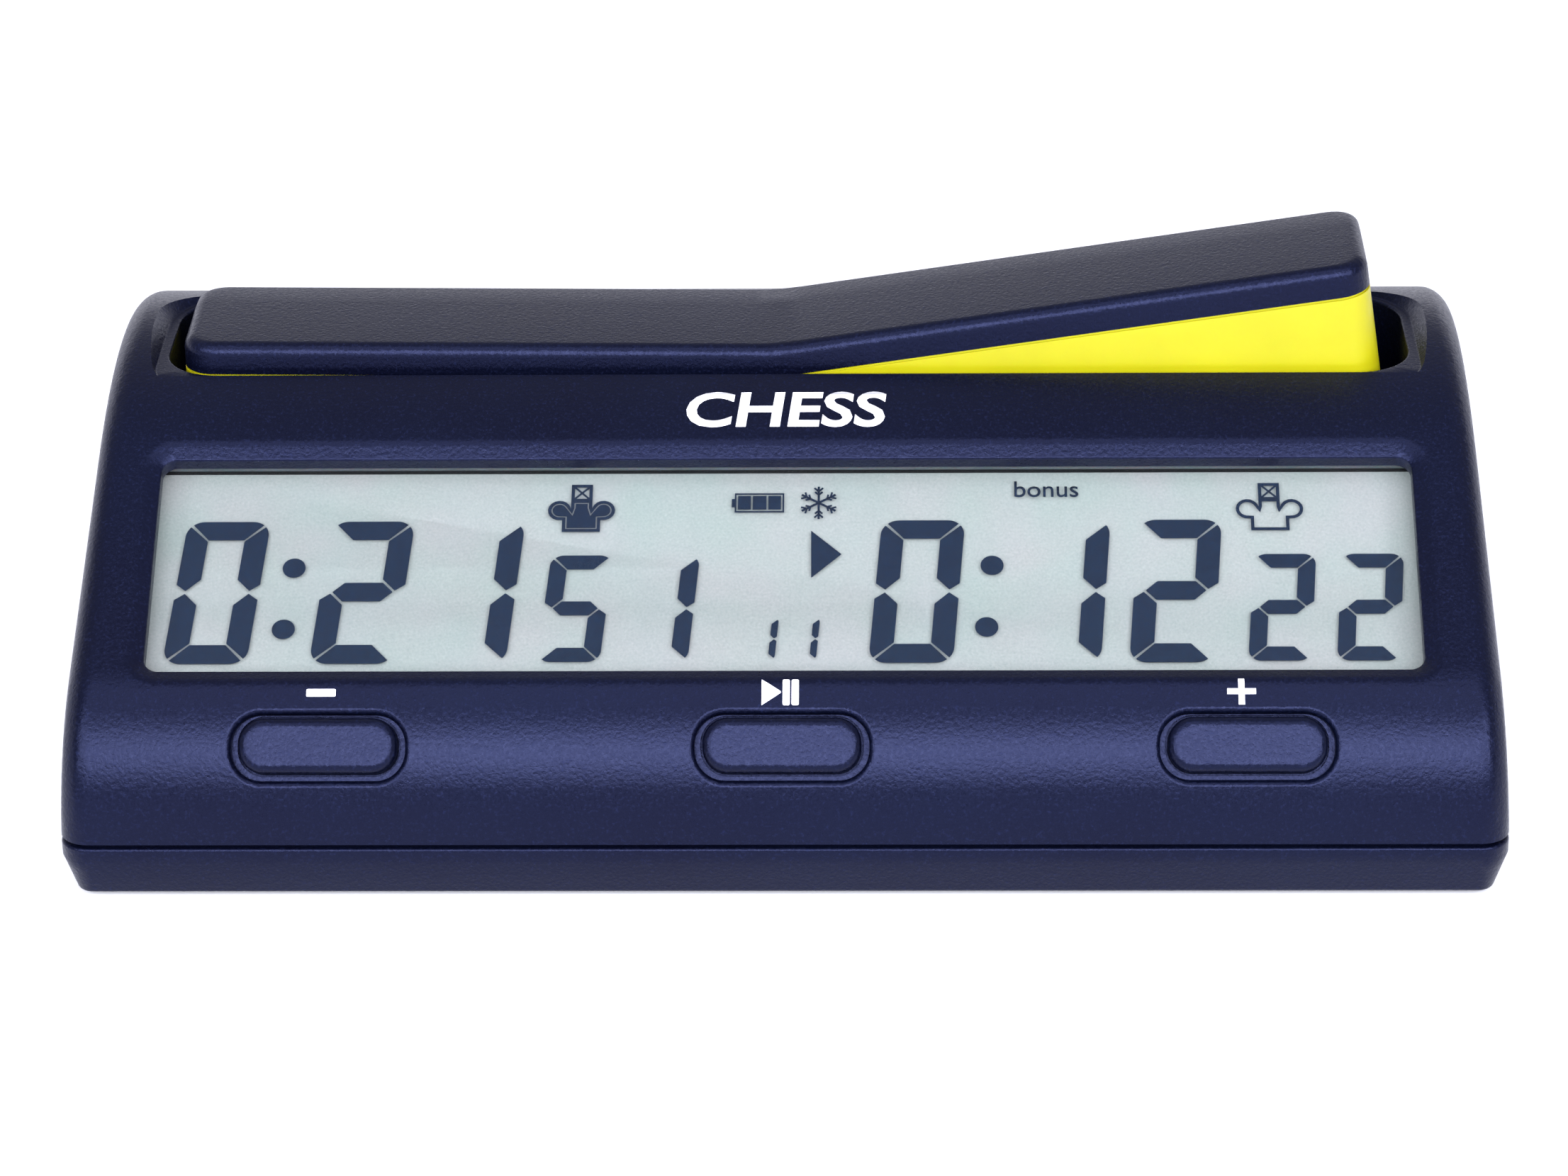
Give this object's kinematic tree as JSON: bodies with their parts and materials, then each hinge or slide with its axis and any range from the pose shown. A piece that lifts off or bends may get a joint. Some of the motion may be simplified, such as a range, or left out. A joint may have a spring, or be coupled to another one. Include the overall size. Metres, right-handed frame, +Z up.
{
  "type": "digital chess clock",
  "caption": "Wedge-shaped digital chess clock with a full-width rocker lever, segment display, front keys and a battery tray.",
  "frame": {"origin": "on the resting plane under the rubber feet, below the middle of the housing", "axes": "+X to the right of a player reading the display, +Y to the back, +Z up"},
  "size_m": [0.17, 0.086, 0.0601],
  "materials": {
    "navy_abs": "fine spark-eroded satin moulding",
    "yellow_abs": "semi-gloss moulding",
    "black_rubber": "matt",
    "carbon_rubber": "matt",
    "grey_silicone": "satin",
    "green_laminate": "solder mask over glass epoxy",
    "zinc_steel": "bright zinc plate",
    "polished_steel": "ground",
    "nickel_plate": "nickel plate",
    "natural_nylon": "satin",
    "black_plastic": "satin moulding",
    "white_plastic": "satin moulding",
    "black_resin": "poured resin",
    "blue_sleeve": "shrunk sleeve",
    "cell_wrap": "printed wrap",
    "red_wire": "extruded insulation",
    "black_wire": "extruded insulation",
    "display_glass": "clear float glass",
    "polariser_film": "anti-glare film",
    "reflector_film": "transflective film"
  },
  "bodies": {
    "case": {"upper_housing": "navy_abs", "base_tray": "navy_abs", "pivot_axle": "polished_steel", "pivot_washers": "natural_nylon", "stop_pads": "black_rubber", "switch_board": "green_laminate", "switch_board_screws": "zinc_steel", "rocker_switches": "black_plastic", "keypad_mat": "grey_silicone", "keypad_board": "green_laminate", "keypad_screws": "zinc_steel", "lcd_front_polariser": "polariser_film", "lcd_glass": "display_glass", "lcd_reflector": "reflector_film", "lcd_frame": "black_plastic", "zebra_strip": "grey_silicone", "main_board": "green_laminate", "board_screws": "zinc_steel", "clock_chip": "black_resin", "quartz_crystal": "nickel_plate", "board_capacitors": "blue_sleeve", "battery_cells": "cell_wrap", "contact_plates": "nickel_plate", "battery_springs": "nickel_plate", "buzzer": "black_plastic", "buzzer_leads": "red_wire", "power_switch_body": "black_plastic", "power_switch_screws": "zinc_steel", "housing_screws": "zinc_steel", "rubber_feet": "black_rubber", "battery_lead_minus": "black_wire", "battery_lead_plus": "red_wire"},
    "rocker": {"rocker_cap": "navy_abs", "rocker_skirt": "yellow_abs", "rocker_screws": "zinc_steel"},
    "minus_button": {"minus_key": "navy_abs", "minus_pill": "carbon_rubber"},
    "play_button": {"play_key": "navy_abs", "play_pill": "carbon_rubber"},
    "plus_button": {"plus_key": "navy_abs", "plus_pill": "carbon_rubber"},
    "power_slider": {"power_switch_knob": "white_plastic"},
    "door": {"battery_door": "navy_abs"}
  },
  "joints": [
    {"name": "rocker_tilt", "type": "hinge", "parent": "case", "child": "rocker", "pos_m": [0, 0.0168, 0.02965], "axis": [0, 1, 0], "range_deg": [0, 8]},
    {"name": "minus_button_press", "type": "slide", "parent": "case", "child": "minus_button", "axis": [0, 0.848, -0.5299], "range_m": [0, 0.0008], "stiffness_N_per_m": 900, "springref_m": -0.0004},
    {"name": "play_button_press", "type": "slide", "parent": "case", "child": "play_button", "axis": [0, 0.848, -0.5299], "range_m": [0, 0.0008], "stiffness_N_per_m": 900, "springref_m": -0.0004},
    {"name": "plus_button_press", "type": "slide", "parent": "case", "child": "plus_button", "axis": [0, 0.848, -0.5299], "range_m": [0, 0.0008], "stiffness_N_per_m": 900, "springref_m": -0.0004},
    {"name": "power_slide", "type": "slide", "parent": "case", "child": "power_slider", "axis": [1, 0, 0], "range_m": [0, 0.003]},
    {"name": "door_slide", "type": "slide", "parent": "case", "child": "door", "axis": [0, 1, 0], "range_m": [0, 0.038]}
  ]
}
